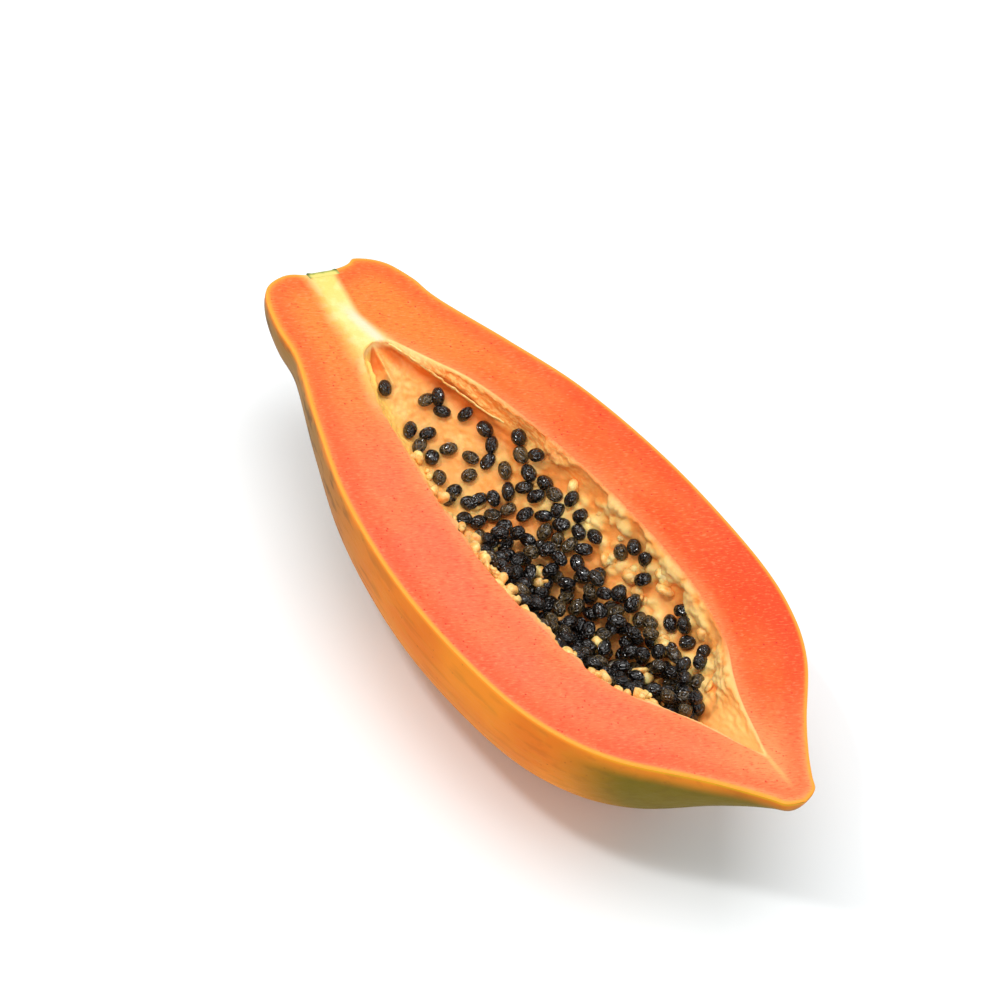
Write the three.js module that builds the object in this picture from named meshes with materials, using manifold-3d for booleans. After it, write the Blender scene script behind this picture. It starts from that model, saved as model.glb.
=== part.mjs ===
// Half a ripe papaya, cut lengthwise, lying on its skin with the cut face up.
// Millimetres, +Z up. The stem end points to -X and the blossom tip to +X.
// The origin is on the surface it lies on, under the middle of its box.

import * as THREE from 'three';
import { mergeVertices } from 'three/addons/utils/BufferGeometryUtils.js';
import Module from 'manifold-3d';

const wasm = await Module();
wasm.setup();

// Skin: [radius, distance from the stem scar], from the notch round the scar, over the
// shoulder, down the neck and belly, to the blunt blossom tip
const skinOutline = [
  [0, 2.6], [7.3, 1.6], [12.6, -0.6], [17.8, 1.4], [21.8, 7.2], [25.2, 17], [27.8, 30], [38.7, 56],
  [48.8, 82.5], [55, 111.5], [57.1, 139], [55.5, 171.5], [50.1, 193.5], [40.5, 211], [23.6, 229],
  [14.6, 239.5], [9, 247], [5.8, 251.6], [0, 253.7],
];
const skinSegments = 40;
const skinStepsPerPoint = 2;
const skinDepthFactor = 1.11;
const skinLobeHeight = 0.012;
const tipBend = 4.5;
const tipBendStart = 138;
const stemBend = 1.8;
const stemBendStart = 60;
const stemSlant = 0.18;
const stemSlantTo = 30;
// The far side stands out beside the stem end, from its shoulder to the belly
const farSwell = 4.3;
const farSwellSide = [12, 22];
const farSwellAlong = [20, 135];
const restFlatDepth = 1.2;

// Stem scar, a low green button a little to one side of the axis
const scarOutline = [[0, 0.3], [4.6, -0.6], [5.8, 0.6], [5.8, 9], [0, 9]];
const scarSegments = 20;
const scarOffset = 4.5;
const scarPullFrom = 8;
const scarPullTo = 20;

// Hollow: [radius, distance from the stem scar], from its stem end to its sharp blossom end
const hollowOutline = [
  [0, 34.8], [4.6, 37], [7.6, 42], [12.8, 53], [17.4, 65], [23.8, 93], [27.2, 119], [28.2, 145],
  [27, 166], [23.9, 182.5], [19.3, 193.5], [12.9, 203.5], [7.2, 214.5], [0, 233],
];
const hollowSegments = 30;
const hollowStepsPerPoint = 2;
const hollowDepthFactor = 1.2;
const hollowLobeHeight = 0.03;
const hollowOffset = 1.9;
const hollowOffsetFrom = 45;
const hollowOffsetTo = 75;
const hollowBend = 2.8;
const hollowBendStart = 183;
const hollowBendPower = 1.5;
const hollowEnd = hollowOutline.at(-1)[1];
const wallStep = 0.5;

// A papaya has five lobes
const lobeCount = 5;

// Seeds
const seedLength = 6;
const seedWidth = 4.3;
const seedFacetGrowth = 1.08;
const seedTiltDeg = 14;
const looseSeedHeight = 0.8;

// Seeds that stand singly: [distance from the stem scar, degrees round from the floor of the hollow],
// the far wall positive
const looseSeeds = [
  [46, -9], [56, 41], [58, 54], [62, 44], [68, 58], [60, -2], [64, 15], [66, -4], [71, 2], [72, 22],
  [76, 60], [81, 54], [79, 33], [84, 42], [87, 75], [91, 66], [96, 77], [90, 47], [97, 60], [103, 62],
  [114, 68], [120, 64], [142, 75], [139, 66], [148, 76], [152, 66], [170, 72], [175, 68], [170, 60],
  [179, 60], [187, 66], [190, 62], [78, -4], [104, 51],
  [83, 22], [84, 2], [86, -9], [90, 7], [91, 16], [96, 38], [94, -6], [97, 4], [98, 17], [100, 29], [102, -4],
  [82, -60], [107, -70], [131, -73], [150, -76], [171, -70], [187, -62],
];

// Bunch: seeds strewn inside an ellipse seen from above, over a thin bed that they stand out of
const bunchCentre = new THREE.Vector2(156, 1);
const bunchHalfLength = 52;
const bunchHalfWidth = 22.5;
const bunchBedInset = 2.5;
const bunchWallGap = 0.45;
const bunchBedThickness = 1.7;
const bunchBedSegments = 10;
const bunchLooseClearance = 6.9;
const bunchRandomSeed = 4127;
const bunchLayers = [
  { count: 160, spacing: 5.6, height: 2.8, reach: 1 },
  { count: 26, spacing: 7.5, height: 5.2, reach: 0.7 },
];
const bunchTries = 6000;

const halfTurn = Math.PI;
const clearOfFruit = 400;
const fruitEnd = skinOutline.at(-1)[1];
const fruitRadius = Math.max(...skinOutline.map(([radius]) => radius));
const skinDepth = fruitRadius * skinDepthFactor * (1 + skinLobeHeight);
const cutHeight = skinDepth - restFlatDepth;

const { degToRad, smoothstep, clamp } = THREE.MathUtils;

// A closed solid from a geometry, with its shared corners merged and triangles without area left out
function solidFrom(geometry) {
  const bare = geometry.clone();
  bare.deleteAttribute('normal');
  bare.deleteAttribute('uv');
  const merged = mergeVertices(bare);
  const index = merged.index.array;
  const kept = [];
  for (let i = 0; i < index.length; i += 3) {
    const [a, b, c] = index.slice(i, i + 3);
    if (a !== b && b !== c && c !== a) kept.push(a, b, c);
  }
  const vertProperties = new Float32Array(merged.attributes.position.array);
  return new wasm.Manifold(new wasm.Mesh({ numProp: 3, vertProperties, triVerts: new Uint32Array(kept) }));
}

// A named mesh from a solid
function meshFrom(solid, name, material) {
  const { vertProperties, triVerts } = solid.getMesh();
  const geometry = new THREE.BufferGeometry();
  geometry.setAttribute('position', new THREE.Float32BufferAttribute(vertProperties, 3));
  geometry.setIndex([...triVerts]);
  geometry.computeVertexNormals();
  const mesh = new THREE.Mesh(geometry, material);
  mesh.name = name;
  return mesh;
}

// A smooth profile through the outline's points
function smoothProfile(outline, stepsPerPoint) {
  const points = outline.map(([radius, along]) => new THREE.Vector2(radius, along));
  const profile = new THREE.SplineCurve(points).getPoints((points.length - 1) * stepsPerPoint);
  return profile.map((point) => new THREE.Vector2(Math.max(0, point.x), point.y));
}

// A solid turned round the X axis from a profile, each corner then moved by reshape
function turned(profile, segments, reshape) {
  const geometry = new THREE.LatheGeometry(profile, segments).rotateZ(-halfTurn / 2);
  const position = geometry.attributes.position;
  const corner = new THREE.Vector3();
  for (let i = 0; i < position.count; i += 1) {
    reshape(corner.fromBufferAttribute(position, i));
    position.setXYZ(i, corner.x, corner.y, corner.z);
  }
  return solidFrom(geometry);
}

// Lobes swell a round section, the first one straight down
function lobes(corner, height) {
  return 1 + height * Math.cos(lobeCount * Math.atan2(corner.y, -corner.z));
}

function reshapeSkin(corner) {
  const radius = Math.hypot(corner.y, corner.z);
  const swell = lobes(corner, skinLobeHeight);
  const stemPull = 1 - smoothstep(corner.x, scarPullFrom, scarPullTo);
  const notchPull = 1 - smoothstep(radius, scarPullFrom, scarPullTo);
  const towardsTip = Math.max(0, (corner.x - tipBendStart) / (fruitEnd - tipBendStart));
  const towardsStem = Math.max(0, 1 - corner.x / stemBendStart);
  const bend = tipBend * towardsTip ** 2 + stemBend * towardsStem ** 2;
  const farShare = smoothstep(corner.y, ...farSwellSide) * (1 - smoothstep(corner.x, ...farSwellAlong));
  corner.x += stemSlant * corner.y * (1 - smoothstep(corner.x, 0, stemSlantTo));
  corner.z *= swell * skinDepthFactor;
  corner.y = corner.y * swell + bend + scarOffset * stemPull * notchPull + farSwell * farShare;
}

function hollowCentre(along) {
  const towardsTip = clamp((along - hollowBendStart) / (hollowEnd - hollowBendStart), 0, 1);
  const offset = hollowOffset * smoothstep(along, hollowOffsetFrom, hollowOffsetTo);
  return offset + hollowBend * towardsTip ** hollowBendPower;
}

function reshapeHollow(corner) {
  const swell = lobes(corner, hollowLobeHeight);
  corner.z *= swell * hollowDepthFactor;
  corner.y = corner.y * swell + hollowCentre(corner.x);
}

const hollowProfile = smoothProfile(hollowOutline, hollowStepsPerPoint);

// The hollow as a solid, its radius smaller by inset
function hollowSolid(inset) {
  const smaller = hollowProfile.map((point) => new THREE.Vector2(Math.max(0, point.x - inset), point.y));
  const first = smaller.findIndex((point) => point.x > 0) - 1;
  const last = smaller.findLastIndex((point) => point.x > 0) + 2;
  return turned(smaller.slice(Math.max(0, first), last), hollowSegments, reshapeHollow);
}

function hollowRadius(along) {
  const next = hollowProfile.findIndex((point) => point.y >= along);
  const a = hollowProfile[next - 1];
  const b = hollowProfile[next];
  return a.x + (b.x - a.x) * (along - a.y) / (b.y - a.y);
}

// The wall of the hollow, by distance from the stem scar and angle round from its floor
function wallPoint(along, around) {
  const radius = hollowRadius(along);
  const corner = new THREE.Vector3(along, radius * Math.sin(around), -radius * Math.cos(around));
  reshapeHollow(corner);
  return corner;
}

// The wall's own axes there: lengthwise, crosswise and inward
function wallFrame(along, around) {
  const turn = wallStep / hollowRadius(along);
  const lengthwise = wallPoint(along + wallStep, around).sub(wallPoint(along - wallStep, around));
  const roundwise = wallPoint(along, around + turn).sub(wallPoint(along, around - turn));
  const inward = new THREE.Vector3().crossVectors(lengthwise, roundwise).normalize();
  const crosswise = new THREE.Vector3().crossVectors(inward, lengthwise.normalize());
  return new THREE.Matrix4().makeBasis(lengthwise, crosswise, inward);
}

// The same draws each time
let drawState = bunchRandomSeed;
function draw() {
  const multiplier = 16807;
  const modulus = 2147483647;
  drawState = (drawState * multiplier) % modulus;
  return drawState / modulus;
}

// One seed lying along the wall, its middle at a height over it, turned by a random spin and tilt
function seedOnWall(along, around, height) {
  const spin = draw() * halfTurn;
  const tilt = degToRad((draw() * 2 - 1) * seedTiltDeg);
  const size = new THREE.Vector3(seedLength, seedWidth, seedWidth).multiplyScalar(seedFacetGrowth / 2);
  const frame = wallFrame(along, around);
  const inward = new THREE.Vector3().setFromMatrixColumn(frame, 2);
  const middle = wallPoint(along, around).addScaledVector(inward, height);
  const geometry = new THREE.IcosahedronGeometry(1, 0);
  geometry.scale(size.x, size.y, size.z).rotateY(tilt).rotateZ(spin);
  geometry.applyMatrix4(frame).translate(middle.x, middle.y, middle.z);
  return { middle, solid: solidFrom(geometry) };
}

function joined(solids) {
  return solids.reduce((all, solid) => all.add(solid));
}

// The biggest body that holds together, with no closed pocket left inside
function biggestBody(solid) {
  return solid.decompose().reduce((best, body) => (body.volume() > best.volume() ? body : best));
}

// Half of the fruit: the skin and the scar, cut at the level of the axis and by the small rest
// flat, less the hollow, with the single seeds
function makeHalf() {
  const skin = turned(smoothProfile(skinOutline, skinStepsPerPoint), skinSegments, reshapeSkin);
  const scarProfile = scarOutline.map(([radius, along]) => new THREE.Vector2(radius, along));
  const scar = turned(scarProfile, scarSegments, (corner) => {
    corner.y += scarOffset;
  });
  const lowerHalf = new THREE.BoxGeometry(clearOfFruit, clearOfFruit, cutHeight);
  lowerHalf.translate(fruitEnd / 2, 0, -cutHeight / 2);
  const halfFruit = skin.add(scar).intersect(solidFrom(lowerHalf)).subtract(hollowSolid(0));
  const seeds = looseSeeds.map(([along, degrees]) => seedOnWall(along, degToRad(degrees), looseSeedHeight));
  return { half: joined([halfFruit, ...seeds.map((seed) => seed.solid)]), seeds };
}

// A random spot on the wall inside the bunch's ellipse, reach as a share of the ellipse
function bunchSpot(reach) {
  const distance = Math.sqrt(draw()) * reach;
  const bearing = draw() * 2 * halfTurn;
  const along = bunchCentre.x + bunchHalfLength * distance * Math.cos(bearing);
  const across = bunchCentre.y + bunchHalfWidth * distance * Math.sin(bearing) - hollowCentre(along);
  const around = Math.asin(clamp(across / hollowRadius(along), -1, 1));
  return { along, around, spot: wallPoint(along, around) };
}

// A thin bed over the floor of the hollow, smaller than the bunch all round
function makeBed() {
  const outline = new THREE.Shape().absellipse(
    bunchCentre.x,
    bunchCentre.y,
    bunchHalfLength - bunchBedInset,
    bunchHalfWidth - bunchBedInset,
    0,
    2 * halfTurn,
  );
  const column = new THREE.ExtrudeGeometry(outline, {
    depth: cutHeight,
    bevelEnabled: false,
    curveSegments: bunchBedSegments,
  });
  column.translate(0, 0, -cutHeight);
  const lining = hollowSolid(bunchWallGap).subtract(hollowSolid(bunchWallGap + bunchBedThickness));
  return lining.intersect(solidFrom(column));
}

// The bunch: seeds strewn in layers over the bed, kept off the wall and off the single seeds
function makeBunch(looseOnes) {
  const clear = (others, spot, gap) => others.every((seed) => seed.middle.distanceTo(spot) > gap);
  const solids = [makeBed()];
  for (const { count, spacing, height, reach } of bunchLayers) {
    const layer = [];
    for (let tries = 0; tries < bunchTries && layer.length < count; tries += 1) {
      const { along, around, spot } = bunchSpot(reach);
      if (clear(layer, spot, spacing) && clear(looseOnes, spot, bunchLooseClearance)) {
        solids.push(seedOnWall(along, around, height).solid);
        layer.push({ middle: spot });
      }
    }
  }
  return biggestBody(joined(solids).intersect(hollowSolid(bunchWallGap)));
}

const flesh = new THREE.MeshStandardMaterial({ color: 0xff7b45, roughness: 0.45, metalness: 0 });
const blackSeed = new THREE.MeshStandardMaterial({ color: 0x1b1716, roughness: 0.25, metalness: 0 });

const { half, seeds } = makeHalf();
const papaya = new THREE.Group();
papaya.add(meshFrom(half, 'papaya_half', flesh));
papaya.add(meshFrom(makeBunch(seeds), 'seed_bunch', blackSeed));

// Stand the rest flat on the surface, under the middle of the length
const box = new THREE.Box3().setFromObject(papaya);
papaya.position.set(-(box.min.x + box.max.x) / 2, 0, cutHeight);

export default papaya;
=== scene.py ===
# Half a ripe papaya with its seeds, lying on a white table
import math
import random

import bmesh
import bpy
from mathutils import Euler, Matrix, Vector, kdtree, noise


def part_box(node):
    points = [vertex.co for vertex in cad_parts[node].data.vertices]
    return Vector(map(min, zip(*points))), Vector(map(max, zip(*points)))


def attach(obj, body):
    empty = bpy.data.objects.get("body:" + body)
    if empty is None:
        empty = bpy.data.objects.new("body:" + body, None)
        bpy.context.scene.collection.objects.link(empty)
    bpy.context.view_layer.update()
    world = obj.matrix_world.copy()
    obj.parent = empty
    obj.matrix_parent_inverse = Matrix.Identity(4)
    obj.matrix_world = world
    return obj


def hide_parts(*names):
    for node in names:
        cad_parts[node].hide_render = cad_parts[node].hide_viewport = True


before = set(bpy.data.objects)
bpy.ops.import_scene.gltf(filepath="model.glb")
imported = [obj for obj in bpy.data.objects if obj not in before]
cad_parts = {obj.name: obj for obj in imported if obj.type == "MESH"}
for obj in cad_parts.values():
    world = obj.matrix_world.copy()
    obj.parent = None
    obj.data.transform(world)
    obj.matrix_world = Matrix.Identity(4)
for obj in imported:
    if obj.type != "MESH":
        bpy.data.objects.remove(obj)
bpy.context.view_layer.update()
bpy.ops.object.select_all(action="DESELECT")

# metres: radius and distance from the stem scar, on the line from the scar to the blossom tip
fruit = {
    "skinOutline": [
        (0, 0.0026), (0.0073, 0.0016), (0.0126, -0.0006), (0.0178, 0.0014), (0.0218, 0.0072),
        (0.0252, 0.017), (0.0278, 0.03), (0.0387, 0.056), (0.0488, 0.0825), (0.055, 0.1115),
        (0.0571, 0.139), (0.0555, 0.1715), (0.0501, 0.1935), (0.0405, 0.211), (0.0236, 0.229),
        (0.0146, 0.2395), (0.009, 0.247), (0.0058, 0.2516), (0, 0.2537),
    ],
    "skinDepth": 1.11,
    "skinLobes": 0.012,
    "tipBend": 0.0045,
    "tipBendStart": 0.138,
    "stemBend": 0.0018,
    "stemBendStart": 0.06,
    "stemSlant": 0.18,
    "stemSlantTo": 0.03,
    "farSwell": 0.0043,
    "farSwellSide": (0.012, 0.022),
    "farSwellAlong": (0.02, 0.135),
    "scarOffset": 0.0045,
    "scarPull": (0.008, 0.02),
    "hollowOutline": [
        (0, 0.0348), (0.0046, 0.037), (0.0076, 0.042), (0.0128, 0.053), (0.0174, 0.065),
        (0.0238, 0.093), (0.0272, 0.119), (0.0282, 0.145), (0.027, 0.166), (0.0239, 0.1825),
        (0.0193, 0.1935), (0.0129, 0.2035), (0.0072, 0.2145), (0, 0.233),
    ],
    "hollowDepth": 1.2,
    "hollowLobes": 0.03,
    "hollowOffset": 0.0019,
    "hollowOffsetAlong": (0.045, 0.075),
    "hollowBend": 0.0028,
    "hollowBendStart": 0.183,
    "hollowBendPower": 1.5,
    "lobes": 5,
}

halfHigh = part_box("papaya_half")[1]
fruitEnd = fruit["skinOutline"][-1][1]
hollowEnd = fruit["hollowOutline"][-1][1]
stemX = halfHigh.x - fruitEnd
cutZ = halfHigh.z


def smooth(value, low, high):
    share = min(max((value - low) / (high - low), 0), 1)
    return share * share * (3 - 2 * share)


def hump(value, middle, reach):
    # 1 in the middle, 0 past the reach on both sides
    return 1 - smooth(abs(value - middle), 0, reach)


class Profile:
    # a smooth outline that is turned round the fruit's own line
    def __init__(self, outline, stepsPerPoint=24):
        places = [Vector(place) for place in outline]
        last = len(places) - 1
        self.points = []
        for step in range(last * stepsPerPoint + 1):
            i = min(step // stepsPerPoint, last - 1)
            t = step / stepsPerPoint - i
            before, start = places[max(i - 1, 0)], places[i]
            end, after = places[i + 1], places[min(i + 2, last)]
            leaving, arriving = (end - before) / 2, (after - start) / 2
            point = (2 * start - 2 * end + leaving + arriving) * t ** 3
            point += (3 * end - 3 * start - 2 * leaving - arriving) * t ** 2 + leaving * t + start
            self.points.append(Vector((max(point.x, 0), point.y)))
        self.lengths = [0]
        for a, b in zip(self.points, self.points[1:]):
            self.lengths.append(self.lengths[-1] + (b - a).length)
        self.alongs = [point.y for point in self.points]

    def between(self, keys, key):
        # the point where the rising list of keys reaches key
        low, high = 0, len(keys) - 1
        while high - low > 1:
            middle = (low + high) // 2
            low, high = (middle, high) if keys[middle] <= key else (low, middle)
        share = (key - keys[low]) / max(keys[high] - keys[low], 1e-12)
        return self.points[low].lerp(self.points[high], min(max(share, 0), 1))

    def at(self, share):
        return self.between(self.lengths, share * self.lengths[-1])

    def radiusAt(self, along):
        return self.between(self.alongs, along).x


skinProfile = Profile(fruit["skinOutline"])
hollowProfile = Profile(fruit["hollowOutline"])


def skinPoint(radius, along, turn):
    # turn is 0 straight down and a quarter turn at the cut, the far side positive
    swell = 1 + fruit["skinLobes"] * math.cos(fruit["lobes"] * turn)
    pull = (1 - smooth(along, *fruit["scarPull"])) * (1 - smooth(radius, *fruit["scarPull"]))
    toTip = max(0, (along - fruit["tipBendStart"]) / (fruitEnd - fruit["tipBendStart"]))
    toStem = max(0, 1 - along / fruit["stemBendStart"])
    bend = fruit["tipBend"] * toTip ** 2 + fruit["stemBend"] * toStem ** 2
    side = radius * math.sin(turn)
    slant = fruit["stemSlant"] * side * (1 - smooth(along, 0, fruit["stemSlantTo"]))
    far = smooth(side, *fruit["farSwellSide"]) * (1 - smooth(along, *fruit["farSwellAlong"]))
    across = side * swell + bend + fruit["scarOffset"] * pull + fruit["farSwell"] * far
    depth = radius * math.cos(turn) * swell * fruit["skinDepth"]
    return Vector((stemX + along + slant, across, cutZ - depth))


def hollowCentre(along):
    share = (along - fruit["hollowBendStart"]) / (hollowEnd - fruit["hollowBendStart"])
    offset = fruit["hollowOffset"] * smooth(along, *fruit["hollowOffsetAlong"])
    return offset + fruit["hollowBend"] * min(max(share, 0), 1) ** fruit["hollowBendPower"]


def hollowPoint(radius, along, turn):
    swell = 1 + fruit["hollowLobes"] * math.cos(fruit["lobes"] * turn)
    depth = radius * math.cos(turn) * swell * fruit["hollowDepth"]
    return Vector((stemX + along, radius * math.sin(turn) * swell + hollowCentre(along), cutZ - depth))


def wallPoint(along, turn):
    return hollowPoint(hollowProfile.radiusAt(along), along, turn)


def wallFrame(along, turn, step=0.0005):
    # the wall's own axes there: lengthwise, crosswise and inward, with the place on the wall
    around = step / max(hollowProfile.radiusAt(along), step)
    lengthwise = (wallPoint(along + step, turn) - wallPoint(along - step, turn)).normalized()
    roundwise = wallPoint(along, turn + around) - wallPoint(along, turn - around)
    inward = lengthwise.cross(roundwise).normalized()
    axes = Matrix((lengthwise, inward.cross(lengthwise), inward)).transposed().to_4x4()
    return Matrix.Translation(wallPoint(along, turn)) @ axes


def lyingSphere(segments, rings, radius):
    # a sphere with its poles along the fruit, in edit mode with all of it selected
    bpy.ops.mesh.primitive_uv_sphere_add(
        segments=segments, ring_count=rings, radius=radius, rotation=(0, math.pi / 2, 0))
    bpy.ops.object.transform_apply(rotation=True)
    bpy.ops.object.mode_set(mode="EDIT")
    bpy.ops.mesh.select_all(action="SELECT")
    return bpy.context.object


def pick(piece, wanted):
    # selects the corners of a piece in edit mode that wanted says yes to
    mesh = bmesh.from_edit_mesh(piece.data)
    for corner in mesh.verts:
        corner.select_set(wanted(corner))
    mesh.select_flush(True)
    bmesh.update_edit_mesh(piece.data)


def settle(piece, name):
    piece.name = name
    piece.data.name = name
    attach(piece, "root")


# Shader sums

def paint(red, green, blue):
    # a colour as it looks on screen
    shares = [value / 255 for value in (red, green, blue)]
    return [s / 12.92 if s < 0.04045 else ((s + 0.055) / 1.055) ** 2.4 for s in shares] + [1]


class Wire:
    # one socket of a finish, with the operators that the shader sums use
    def __init__(self, finish, socket):
        self.finish = finish
        self.socket = socket

    def sum(self, operation, *values):
        return self.finish.node("ShaderNodeMath", {"operation": operation}, dict(enumerate(values)))

    def __add__(self, other):
        return self.sum("ADD", self, other)

    def __radd__(self, other):
        return self.sum("ADD", other, self)

    def __sub__(self, other):
        return self.sum("SUBTRACT", self, other)

    def __rsub__(self, other):
        return self.sum("SUBTRACT", other, self)

    def __mul__(self, other):
        return self.sum("MULTIPLY", self, other)

    def __rmul__(self, other):
        return self.sum("MULTIPLY", other, self)

    def __truediv__(self, other):
        return self.sum("DIVIDE", self, other)

    def __abs__(self):
        return self.sum("ABSOLUTE", self)

    def larger(self, other):
        return self.sum("MAXIMUM", self, other)

    def rise(self, low, high):
        # 0 below low and 1 above high, smooth between them
        settings = {"interpolation_type": "SMOOTHSTEP"}
        return self.finish.node("ShaderNodeMapRange", settings, {"Value": self, 1: low, 2: high})

    def fall(self, low, high):
        return 1 - self.rise(low, high)


class Finish:
    # a material whose nodes are added one by one
    def __init__(self, name):
        self.material = bpy.data.materials.new(name)
        self.material.use_nodes = True
        self.tree = self.material.node_tree
        self.tree.nodes.clear()

    def node(self, kind, settings=None, values=None, output=0):
        added = self.tree.nodes.new(kind)
        for name, setting in (settings or {}).items():
            setattr(added, name, setting)
        for key, value in (values or {}).items():
            if isinstance(value, Wire):
                self.tree.links.new(value.socket, added.inputs[key])
            else:
                added.inputs[key].default_value = value
        return Wire(self, added.outputs[output]) if added.outputs else None

    def place(self):
        return self.node("ShaderNodeTexCoord", output="Object")

    def axes(self, vector):
        wire = self.node("ShaderNodeSeparateXYZ", values={0: vector})
        return [Wire(self, wire.socket.node.outputs[i]) for i in range(3)]

    def mark(self, name):
        return self.node("ShaderNodeAttribute", {"attribute_name": name}, output="Fac")

    def stretched(self, vector, scale, turn=0):
        values = {0: vector, "Rotation": (0, 0, turn), "Scale": scale}
        return self.node("ShaderNodeMapping", {"vector_type": "TEXTURE"}, values)

    def grain(self, vector, size, detail=2, roughness=0.5):
        # soft noise with spots about as wide as size
        values = {"Vector": vector, "Scale": 1 / size, "Detail": detail, "Roughness": roughness}
        return self.node("ShaderNodeTexNoise", values=values)

    def cells(self, vector, size):
        return self.node("ShaderNodeTexVoronoi", values={"Vector": vector, "Scale": 1 / size})

    def mix(self, share, first, second, blend="MIX"):
        settings = {"data_type": "RGBA", "blend_type": blend}
        return self.node("ShaderNodeMix", settings, {0: share, 6: first, 7: second}, output=2)

    def layers(self, colour, look, shares):
        # the look's colours one over the other, each by its share
        for name, share in shares.items():
            colour = self.mix(share, colour, look[name])
        return colour

    def bump(self, height, depth, normal=None):
        values = {"Height": height, "Distance": depth}
        if normal:
            values["Normal"] = normal
        return self.node("ShaderNodeBump", values=values)

    def shade(self, colour, roughness, normal, **constants):
        values = {"Base Color": colour, "Roughness": roughness, "Normal": normal}
        values.update({name.replace("_", " "): value for name, value in constants.items()})
        surface = self.node("ShaderNodeBsdfPrincipled", values=values)
        self.node("ShaderNodeOutputMaterial", values={"Surface": surface})
        return self.material


# Camera, light and table

view = {
    "azimuth": math.radians(38.125),
    "elevation": math.radians(47.523),
    "roll": math.radians(17.651),
    "distance": 1.6,
    "lens": 179.4,
    "sensor": 36,
    "aimRight": -0.0154,
    "aimUp": 0.0045,
}


def setCamera():
    turn, lift = view["azimuth"], view["elevation"]
    back = Vector((math.sin(turn) * math.cos(lift), -math.cos(turn) * math.cos(lift), math.sin(lift)))
    right = Vector((math.cos(turn), math.sin(turn), 0))
    up = back.cross(right)
    aim = Vector((0, 0, cutZ)) + right * view["aimRight"] + up * view["aimUp"]
    axes = Matrix((right, up, back)).transposed()
    axes = axes @ Matrix.Rotation(view["roll"], 3, "Z")
    camera = bpy.data.objects.new("camera", bpy.data.cameras.new("camera"))
    camera.matrix_world = Matrix.Translation(aim + back * view["distance"]) @ axes.to_4x4()
    camera.data.lens = view["lens"]
    camera.data.sensor_width = view["sensor"]
    bpy.context.scene.collection.objects.link(camera)
    bpy.context.scene.camera = camera


lights = {
    # place, width, power
    "skyBox": ((-0.1, -0.1, 1.7), 1.3, 16),
    "keyBox": ((-0.25, -0.75, 1.4), 0.16, 7),
    "rightBox": ((1.1, -0.9, 0.9), 0.8, 3.5),
    "backBox": ((0.1, 1.3, 1.2), 0.9, 1.2),
    "worldStrength": 0.58,
    "tableColour": (0.91, 0.94, 0.955, 1),
    "tableSize": 8,
}


def setLight():
    for name in ("skyBox", "keyBox", "rightBox", "backBox"):
        place, width, power = lights[name]
        lamp = bpy.data.lights.new(name, "AREA")
        lamp.size = width
        lamp.energy = power
        box = bpy.data.objects.new(name, lamp)
        box.location = place
        box.rotation_euler = (Vector((0, 0, 0.03)) - Vector(place)).to_track_quat("-Z", "Y").to_euler()
        bpy.context.scene.collection.objects.link(box)
    world = bpy.data.worlds.new("studio")
    world.use_nodes = True
    world.node_tree.nodes["Background"].inputs["Color"].default_value = (1, 1, 1, 1)
    world.node_tree.nodes["Background"].inputs["Strength"].default_value = lights["worldStrength"]
    bpy.context.scene.world = world
    bpy.context.scene.view_settings.view_transform = "Standard"


def setTable():
    bpy.ops.mesh.primitive_plane_add(size=lights["tableSize"])
    table = bpy.context.object
    table.name = "table"
    finish = Finish("whiteTable")
    grain = finish.grain(finish.place(), 0.02)
    table.data.materials.append(finish.shade(lights["tableColour"], 0.5, finish.bump(grain, 0.00002)))


setCamera()
setLight()
setTable()
print("camera, light and table set")


# The half: skin, cut face and hollow as one closed mesh

half = {
    "rows": 300,          # from the scar to the tip
    "columns": 192,       # round the whole fruit
    "cutRings": 26,
    "rimRings": 5,
    "wallRings": 62,
    "edgeRound": [(0, -0.00045), (0.00007, -0.0002), (0.00022, -0.00006), (0.0005, 0)],
    "rimRound": 0.0011,
    "hollowLead": 1.3,    # how the hollow's rim runs behind the skin's edge, round the loop
    "restSoft": 0.0004,
    "waveSize": 0.03,
    "waveHeight": 0.0003,
}


def loopShare(index):
    # share of the way from the scar to the tip, and the side
    rows = half["rows"]
    return (index / rows, 1) if index <= rows else ((2 * rows - index) / rows, -1)


def edgePoint(index):
    share, side = loopShare(index)
    spot = skinProfile.at(share)
    return skinPoint(spot.x, spot.y, side * math.pi / 2)


def hollowSpot(index):
    share, side = loopShare(index)
    return hollowProfile.at(share ** half["hollowLead"]), side


def rimPoint(index):
    spot, side = hollowSpot(index)
    return hollowPoint(spot.x, spot.y, side * math.pi / 2)


def acrossLoop(loop, index, target):
    # the level direction across a closed loop of places, on the side of the target
    tangent = loop[(index + 1) % len(loop)] - loop[index - 1]
    across = Vector((-tangent.y, tangent.x, 0)).normalized()
    return across * (1 if across.dot(target - loop[index]) > 0 else -1)


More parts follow.
